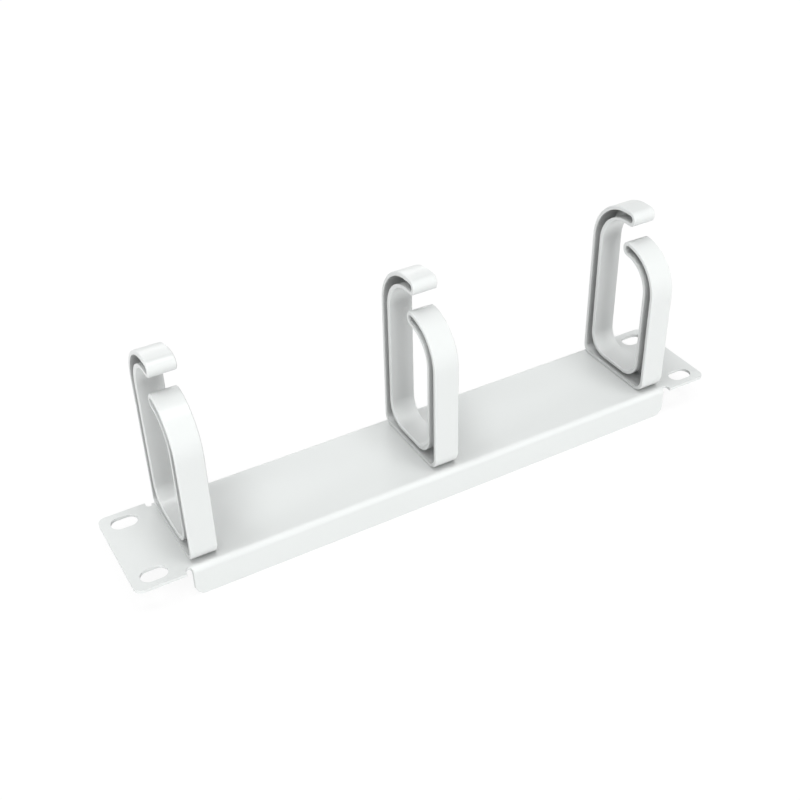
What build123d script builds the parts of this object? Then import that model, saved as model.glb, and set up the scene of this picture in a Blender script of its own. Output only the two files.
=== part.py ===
from build123d import *
import os

# Horizontal cable manager for a ten-inch rack, one unit high, with three open cable rings
# The origin lies on the surface it stands on, under the middle of the panel
# X runs along the panel, Y to the rear, Z up, in millimetres

# Panel: one sheet with flat ears, its front and rear edge folded down between them
sheet = 1.2
panel_width = 254.0
panel_height = 44.0
corner_radius = 3.0
ear_width = 18.8
flange_depth = 12.8
flange_corner = 4.0
front_setback = 0.9
inner_bend = 1.0

# Relief notches with a round root, between the folds and the ears
relief_width = 2.5
relief_depth = 2.7

# Rack slots, with the distance of their middles from the panel's ends and long sides
slot_length = 10.2
slot_width = 6.6
slot_end = 8.7375
slot_side = 6.125

# Cable rings: a band bent into an open loop, hollow from the left down to a web on the right
ring_names = ("cable_ring_left", "cable_ring_middle", "cable_ring_right")
ring_width = 10.2
ring_height = 76.9
ring_front_gap = 1.65
ring_rear_gap = 1.25
ring_inset = 5.7
band = 6.3
bar = 5.5
rim = 1.55
web = 1.8
front_corner = 6.0
rear_corner = 4.0
floor_corner = 7.6
hook_radius = 19.5
hook_run = 2.55
front_radius = 18.5
front_sweep = 86.5
mouth = 6.95
edge_break = 0.35

# Snap feet under each ring, and their windows in the panel
snap_inset = 10.5
snap_length = 8.0
snap_width = 6.0
snap_stem = 2.4
snap_arm = 1.3
snap_catch = 0.8
snap_reach = 8.0
snap_nose = 0.6
snap_seat = 0.1
window_clearance = 0.15
window_corner = 0.5

# Sizes and places that follow from these
panel_top = Plane.XY.offset(flange_depth)
outer_bend = inner_bend + sheet
front_face = front_setback - panel_height / 2
rear_face = panel_height / 2
ring_front = front_face + ring_front_gap
ring_rear = rear_face - ring_rear_gap
ring_depth = ring_rear - ring_front
row_middle = (ring_front + ring_rear) / 2
flange_length = panel_width - 2 * (ear_width + relief_width)
fold_length = flange_length + relief_width
ring_pitch = (flange_length - 2 * ring_inset) / (len(ring_names) - 1)
snap_pitch = ring_depth - 2 * snap_inset


# Outline of the folded section: outside and inside of the bends, joined at the flange edges
with BuildSketch() as folded_section:
    with BuildLine():
        outside = FilletPolyline(
            (front_face, 0),
            (front_face, flange_depth),
            (rear_face, flange_depth),
            (rear_face, 0),
            radius=outer_bend,
        )
        offset(outside, amount=sheet, side=Side.RIGHT)
    make_face()

with BuildPart() as panel:
    # Flat blank, without the strips that the folds replace
    with BuildSketch(panel_top):
        RectangleRounded(panel_width, panel_height, corner_radius)
        with Locations((0, front_face), (0, rear_face)):
            Rectangle(fold_length, 2 * outer_bend, mode=Mode.SUBTRACT)
    extrude(amount=-sheet)
    with BuildSketch(Plane.YZ.offset(-fold_length / 2)):
        add(folded_section.sketch)
    extrude(amount=fold_length)
    with BuildSketch(panel_top):
        # Relief notches, open to the edge, which also trim the ends of the folds
        with GridLocations(fold_length, panel_height, 2, 2):
            SlotOverall(2 * relief_depth, relief_width, rotation=90)
    extrude(amount=-flange_depth, mode=Mode.SUBTRACT)
    flange_ends = panel.edges().filter_by(Axis.Y).group_by(Axis.Z)[0]
    fillet(flange_ends, radius=flange_corner)
    with BuildSketch(panel_top):
        with GridLocations(panel_width - 2 * slot_end, panel_height - 2 * slot_side, 2, 2):
            SlotOverall(slot_length, slot_width)
        with Locations((0, row_middle)):
            with GridLocations(ring_pitch, snap_pitch, len(ring_names), 2):
                RectangleRounded(
                    snap_width + 2 * window_clearance,
                    snap_length + 2 * window_clearance,
                    window_corner,
                )
    extrude(amount=-sheet, mode=Mode.SUBTRACT)
panel.part.label = "panel"


# Ring outline seen along the panel, standing on the panel: rear to the right
with BuildSketch() as ring_outline:
    half = ring_depth / 2
    hook_centre = (half - hook_radius, ring_height - hook_radius)
    front_centre = (front_radius - half, ring_height - band - mouth - front_radius)
    front_end = 180 - front_sweep
    with BuildLine():
        # Outside of the band: bottom bar, rear arm and hook up to its round tip
        bottom = Line((front_corner - half, 0), (half - rear_corner, 0))
        rear_foot = JernArc(bottom @ 1, (1, 0), rear_corner, 90)
        Line(rear_foot @ 1, (half, hook_centre[1]))
        hook = CenterArc(hook_centre, hook_radius, 0, 90)
        hook_top = Line(hook @ 1, (hook_centre[0] - hook_run, ring_height))
        hook_tip = JernArc(hook_top @ 1, (-1, 0), band / 2, 180)
        # Inside of the band: under the hook, down the rear arm and across the floor
        Line(hook_tip @ 1, (hook_centre[0], ring_height - band))
        CenterArc(hook_centre, hook_radius - band, 0, 90)
        rear_inside = Line((half - band, hook_centre[1]), (half - band, bar + floor_corner))
        rear_floor = JernArc(rear_inside @ 1, (0, -1), floor_corner, -90)
        floor = Line(rear_floor @ 1, (band + floor_corner - half, bar))
        front_floor = JernArc(floor @ 1, (-1, 0), floor_corner, -90)
        # Front arm, up to its round tip under the hook and down again outside
        Line(front_floor @ 1, (band - half, front_centre[1]))
        CenterArc(front_centre, front_radius - band, front_end, front_sweep)
        front_arc = CenterArc(front_centre, front_radius, front_end, front_sweep)
        JernArc(front_arc @ 0, front_arc % 0 * -1, band / 2, -180)
        front_outside = Line(front_arc @ 1, (-half, front_corner))
        JernArc(front_outside @ 1, (0, -1), front_corner, 90)
    make_face()

# Snap foot seen along the panel: seat block in the window, stem and two sprung arms below
with BuildSketch() as snap_outline:
    block = snap_length / 2
    stem = snap_stem / 2
    arm_tip = block + snap_catch
    catch_face = -sheet - snap_seat
    with BuildLine():
        Polyline(
            (0, rim / 2),
            (block, rim / 2),
            (block, -sheet),
            (stem, -sheet),
            (stem, 2 * snap_arm - snap_reach),
            (arm_tip - snap_arm, catch_face),
            (arm_tip, catch_face),
            (stem, -snap_reach),
            (0, -snap_reach),
        )
        mirror(about=Plane.YZ)
    make_face()
    fillet(snap_outline.vertices().group_by(Axis.Y)[0], radius=snap_nose)


# One ring, standing on the panel at the given place along it, with its hollow and snap feet
def make_ring(name, place):
    def along(distance):
        origin = (place + distance, row_middle, flange_depth)
        return Plane(origin, x_dir=(0, 1, 0), z_dir=(1, 0, 0))

    with BuildPart() as ring:
        with BuildSketch(along(-ring_width / 2)):
            add(ring_outline.sketch)
        extrude(amount=ring_width)
        with BuildSketch(along(-ring_width / 2)):
            offset(ring_outline.sketch, amount=-rim)
        extrude(amount=ring_width - web, mode=Mode.SUBTRACT)
        ends = ring.faces().filter_by(Axis.X).sort_by(Axis.X)
        for end_face in (ends[0], ends[-1]):
            chamfer(end_face.outer_wire().edges(), length=edge_break)
        with BuildSketch(along(-snap_width / 2)):
            with GridLocations(snap_pitch, 0, 2, 1):
                add(snap_outline.sketch)
        extrude(amount=snap_width)
    ring.part.label = name
    return ring.part


os.makedirs("parts", exist_ok=True)
export_step(panel.part, "parts/panel.step")
for index, name in enumerate(ring_names):
    place = (index - (len(ring_names) - 1) / 2) * ring_pitch
    export_step(make_ring(name, place), "parts/" + name + ".step")
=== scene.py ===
import math
import bpy
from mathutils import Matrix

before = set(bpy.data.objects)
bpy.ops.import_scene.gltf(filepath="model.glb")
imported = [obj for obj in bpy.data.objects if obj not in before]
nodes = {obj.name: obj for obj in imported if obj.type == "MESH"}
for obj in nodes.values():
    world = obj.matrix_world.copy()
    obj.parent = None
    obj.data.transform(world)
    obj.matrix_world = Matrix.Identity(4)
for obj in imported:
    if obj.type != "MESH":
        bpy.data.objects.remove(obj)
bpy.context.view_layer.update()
bpy.ops.object.select_all(action="DESELECT")
print("frame loaded:", ", ".join(sorted(nodes)))

# camera, where the photographer stood
cameraSettings = {
    "place": (-0.18667, -0.32512, 0.30484),  # metres, left and in front of the panel
    "turn": (54.1436, 1.2700, -29.5165),     # degrees about X, Y and Z
    "lens": 53.567,                          # on a 36 mm wide sensor
    "nearest": 0.01,                         # metres from the camera at which it starts to see
}
cameraData = bpy.data.cameras.new("camera")
cameraData.lens = cameraSettings["lens"]
cameraData.clip_start = cameraSettings["nearest"]
camera = bpy.data.objects.new("camera", cameraData)
camera.location = cameraSettings["place"]
camera.rotation_euler = [math.radians(angle) for angle in cameraSettings["turn"]]
bpy.context.scene.collection.objects.link(camera)
bpy.context.scene.camera = camera
bpy.context.scene.view_settings.view_transform = "Standard"
print("camera set")


def addNode(tree, kind, place, **values):
    node = tree.nodes.new(kind)
    node.location = place
    for name, value in values.items():
        setattr(node, name, value)
    return node


def greyOf(level):
    return (level, level, level, 1)


grainSettings = {
    "waveDetail": 1.5,                    # the waves are smooth
    "grainDetail": 3.0,                   # the grain breaks up further
    "middle": 0.5,                        # noise swings about one half
}


# fine uneven surface: soft waves under a short grain, as a height and as a roughness
def makeSurfaceGroup():
    group = bpy.data.node_groups.new("surfaceGrain", "ShaderNodeTree")
    group.interface.new_socket(name="Vector", in_out="INPUT", socket_type="NodeSocketVector")
    for name in ("Wave scale", "Grain scale", "Grain share", "Roughness", "Roughness change"):
        group.interface.new_socket(name=name, in_out="INPUT", socket_type="NodeSocketFloat")
    for name in ("Height", "Roughness"):
        group.interface.new_socket(name=name, in_out="OUTPUT", socket_type="NodeSocketFloat")
    start = addNode(group, "NodeGroupInput", (-800, 0))
    end = addNode(group, "NodeGroupOutput", (500, 0))
    wave = addNode(group, "ShaderNodeTexNoise", (-500, 200))
    wave.inputs["Detail"].default_value = grainSettings["waveDetail"]
    grain = addNode(group, "ShaderNodeTexNoise", (-500, -100))
    grain.inputs["Detail"].default_value = grainSettings["grainDetail"]
    height = addNode(group, "ShaderNodeMix", (-200, 150), data_type="FLOAT")
    centred = addNode(group, "ShaderNodeMath", (-200, -150), operation="SUBTRACT")
    centred.inputs[1].default_value = grainSettings["middle"]
    rough = addNode(group, "ShaderNodeMath", (100, -100), operation="MULTIPLY_ADD")
    links = group.links
    links.new(start.outputs["Vector"], wave.inputs["Vector"])
    links.new(start.outputs["Vector"], grain.inputs["Vector"])
    links.new(start.outputs["Wave scale"], wave.inputs["Scale"])
    links.new(start.outputs["Grain scale"], grain.inputs["Scale"])
    links.new(start.outputs["Grain share"], height.inputs["Factor"])
    links.new(wave.outputs["Fac"], height.inputs["A"])
    links.new(grain.outputs["Fac"], height.inputs["B"])
    links.new(wave.outputs["Fac"], centred.inputs[0])
    links.new(centred.outputs[0], rough.inputs[0])
    links.new(start.outputs["Roughness change"], rough.inputs[1])
    links.new(start.outputs["Roughness"], rough.inputs[2])
    links.new(height.outputs["Result"], end.inputs["Height"])
    links.new(rough.outputs[0], end.inputs["Roughness"])
    return group


surfaceGroup = makeSurfaceGroup()


# a colour that drifts very little over the surface, with the uneven surface above; bounced light
# meets a darker grey, which paints shade into corners, recesses and the panel beside the rings
def makeFinish(name, settings):
    material = bpy.data.materials.new(name)
    material.use_nodes = True
    tree = material.node_tree
    links = tree.links
    shader = tree.nodes["Principled BSDF"]
    shader.inputs["IOR"].default_value = settings["ior"]
    coords = addNode(tree, "ShaderNodeTexCoord", (-1200, 0))
    surface = addNode(tree, "ShaderNodeGroup", (-900, -200), node_tree=surfaceGroup)
    surface.inputs["Wave scale"].default_value = settings["waveScale"]
    surface.inputs["Grain scale"].default_value = settings["grainScale"]
    surface.inputs["Grain share"].default_value = settings["grainShare"]
    surface.inputs["Roughness"].default_value = settings["roughness"]
    surface.inputs["Roughness change"].default_value = settings["roughnessChange"]
    drift = addNode(tree, "ShaderNodeTexNoise", (-900, 250))
    drift.inputs["Scale"].default_value = settings["driftScale"]
    tint = addNode(tree, "ShaderNodeMix", (-600, 250), data_type="RGBA")
    tint.inputs["A"].default_value = (*settings["colour"], 1)
    tint.inputs["B"].default_value = (*settings["secondColour"], 1)
    path = addNode(tree, "ShaderNodeLightPath", (-600, 650))
    # bounced light sees a darker grey here: painted shade in corners, recesses and beside the
    # rings
    paintedBounceShade = addNode(tree, "ShaderNodeMix", (-300, 350), data_type="RGBA")
    paintedBounceShade.inputs["B"].default_value = greyOf(settings["shadeGreyForBounces"])
    bump = addNode(tree, "ShaderNodeBump", (-500, -250))
    bump.inputs["Strength"].default_value = settings["bump"]
    bump.inputs["Distance"].default_value = settings["bumpHeight"]
    links.new(coords.outputs["Object"], surface.inputs["Vector"])
    links.new(coords.outputs["Object"], drift.inputs["Vector"])
    links.new(drift.outputs["Fac"], tint.inputs["Factor"])
    links.new(path.outputs["Is Diffuse Ray"], paintedBounceShade.inputs["Factor"])
    links.new(tint.outputs["Result"], paintedBounceShade.inputs["A"])
    links.new(paintedBounceShade.outputs["Result"], shader.inputs["Base Color"])
    links.new(surface.outputs["Roughness"], shader.inputs["Roughness"])
    links.new(surface.outputs["Height"], bump.inputs["Height"])
    links.new(bump.outputs["Normal"], shader.inputs["Normal"])
    return material


coatSettings = {
    "colour": (0.816, 0.842, 0.831),      # light grey powder coat
    "secondColour": (0.831, 0.855, 0.847),
    "shadeGreyForBounces": 0.25,                      # grey that bounced light meets: painted shade in corners, recesses and beside the rings
    "driftScale": 14.0,
    "waveScale": 520.0,                   # orange peel, about 2 mm from crest to crest
    "grainScale": 3600.0,
    "grainShare": 0.15,
    "roughness": 0.42,
    "roughnessChange": 0.10,
    "bump": 0.5,
    "bumpHeight": 0.00008,                # metres
    "ior": 1.5,
}
plasticSettings = {
    "colour": (0.805, 0.829, 0.820),      # light grey moulded plastic, much like the coat
    "secondColour": (0.815, 0.837, 0.829),
    # grey that bounced light meets: painted shade in the recesses and inside the rings
    "shadeGreyForBounces": 0.34,
    "driftScale": 22.0,
    "waveScale": 1300.0,
    "grainScale": 5200.0,                 # fine spark-eroded grain of the mould
    "grainShare": 0.25,
    "roughness": 0.30,
    "roughnessChange": 0.04,
    "bump": 0.12,
    "bumpHeight": 0.00002,
    "ior": 1.5,
}
powderCoat = makeFinish("powderCoat", coatSettings)
ringPlastic = makeFinish("ringPlastic", plasticSettings)
for name, node in nodes.items():
    node.data.materials[0] = powderCoat if name == "panel" else ringPlastic
print("finishes made")

# wide soft lamps round the object, far off, and an even room between them
# degrees: height over the floor, round from +X, width across
lampSettings = {
    "aboveLeft": {"height": 75, "round": 180, "width": 16, "strength": 0.50, "mirrored": True},
    "aboveRight": {"height": 75, "round": 300, "width": 16, "strength": 0.69, "mirrored": True},
    "frontLeft": {"height": 50, "round": 240, "width": 34, "strength": 0.75, "mirrored": True},
    "front": {"height": 8, "round": 270, "width": 26, "strength": 1.30, "mirrored": False},
    "left": {"height": 20, "round": 180, "width": 24, "strength": 0.80, "mirrored": False},
    "rightBehind": {"height": 20, "round": 72, "width": 28, "strength": 0.44, "mirrored": True},
}
roomSettings = {
    "level": 0.21,                        # light that the room gives
    "seenLevel": 1.0,                     # white where it is looked at
}
for name, lamp in lampSettings.items():
    softData = bpy.data.lights.new(name, "SUN")
    softData.energy = lamp["strength"]
    softData.angle = math.radians(lamp["width"])
    soft = bpy.data.objects.new(name, softData)
    height, turn = math.radians(lamp["height"]), math.radians(lamp["round"])
    flat = math.cos(height)
    soft.location = (flat * math.cos(turn), flat * math.sin(turn), math.sin(height))
    soft.rotation_euler = soft.location.to_track_quat("Z", "Y").to_euler()
    soft.visible_glossy = lamp["mirrored"]  # a low lamp burns out the panel seen from the far side
    bpy.context.scene.collection.objects.link(soft)


# white wherever the camera or a reflection looks past the object, a plainer level for the rest
def whiteForEye(tree, place):
    path = addNode(tree, "ShaderNodeLightPath", place)
    glossy = addNode(tree, "ShaderNodeMath", (place[0] + 200, place[1]), operation="MAXIMUM")
    seen = addNode(tree, "ShaderNodeMath", (place[0] + 400, place[1]), operation="MAXIMUM")
    tree.links.new(path.outputs["Is Camera Ray"], glossy.inputs[0])
    tree.links.new(path.outputs["Is Glossy Ray"], glossy.inputs[1])
    tree.links.new(glossy.outputs[0], seen.inputs[0])
    tree.links.new(path.outputs["Is Transmission Ray"], seen.inputs[1])
    return seen.outputs[0]


world = bpy.data.worlds.new("room")
world.use_nodes = True
bpy.context.scene.world = world
roomTree = world.node_tree
background = roomTree.nodes["Background"]
level = addNode(roomTree, "ShaderNodeMix", (-200, 0), data_type="FLOAT")
level.inputs["A"].default_value = roomSettings["level"]
level.inputs["B"].default_value = roomSettings["seenLevel"]
roomTree.links.new(whiteForEye(roomTree, (-900, 0)), level.inputs["Factor"])
roomTree.links.new(level.outputs["Result"], background.inputs["Strength"])
background.inputs["Color"].default_value = greyOf(1)

floorSettings = {
    "size": 8.0,
    "drop": 0.00003,                      # just under the flange edges
    "shade": 0.80,                        # what it gives back to the object
    "shadow": 0.12,                       # share of the seen floor that takes shadow
    "glow": 0.91,                         # the rest is white already
}
bpy.ops.mesh.primitive_plane_add(
    size=floorSettings["size"], location=(0, 0, -floorSettings["drop"]))
floor = bpy.context.object
floor.name = "floor"
floorMaterial = bpy.data.materials.new("floorPaper")
floorMaterial.use_nodes = True
floorTree = floorMaterial.node_tree
floorTree.nodes.remove(floorTree.nodes["Principled BSDF"])
plain = addNode(floorTree, "ShaderNodeBsdfDiffuse", (-400, 200))
plain.inputs["Color"].default_value = greyOf(floorSettings["shade"])
seenPaper = addNode(floorTree, "ShaderNodeBsdfDiffuse", (-400, 0))
seenPaper.inputs["Color"].default_value = greyOf(floorSettings["shadow"])
glow = addNode(floorTree, "ShaderNodeEmission", (-400, -200))
glow.inputs["Strength"].default_value = floorSettings["glow"]
seenFloor = addNode(floorTree, "ShaderNodeAddShader", (-200, -100))
floorMix = addNode(floorTree, "ShaderNodeMixShader", (0, 0))
floorTree.links.new(seenPaper.outputs[0], seenFloor.inputs[0])
floorTree.links.new(glow.outputs[0], seenFloor.inputs[1])
floorTree.links.new(whiteForEye(floorTree, (-1200, 0)), floorMix.inputs["Fac"])
floorTree.links.new(plain.outputs[0], floorMix.inputs[1])
floorTree.links.new(seenFloor.outputs[0], floorMix.inputs[2])

# clear from below, so that the object's underside can be looked at
side = addNode(floorTree, "ShaderNodeNewGeometry", (0, 250))
clear = addNode(floorTree, "ShaderNodeBsdfTransparent", (0, -200))
fromBelow = addNode(floorTree, "ShaderNodeMixShader", (200, 0))
floorTree.links.new(side.outputs["Backfacing"], fromBelow.inputs["Fac"])
floorTree.links.new(floorMix.outputs[0], fromBelow.inputs[1])
floorTree.links.new(clear.outputs[0], fromBelow.inputs[2])
floorOutput = floorTree.nodes["Material Output"]
floorTree.links.new(fromBelow.outputs[0], floorOutput.inputs["Surface"])
floor.data.materials.append(floorMaterial)
print("lamps and floor set")
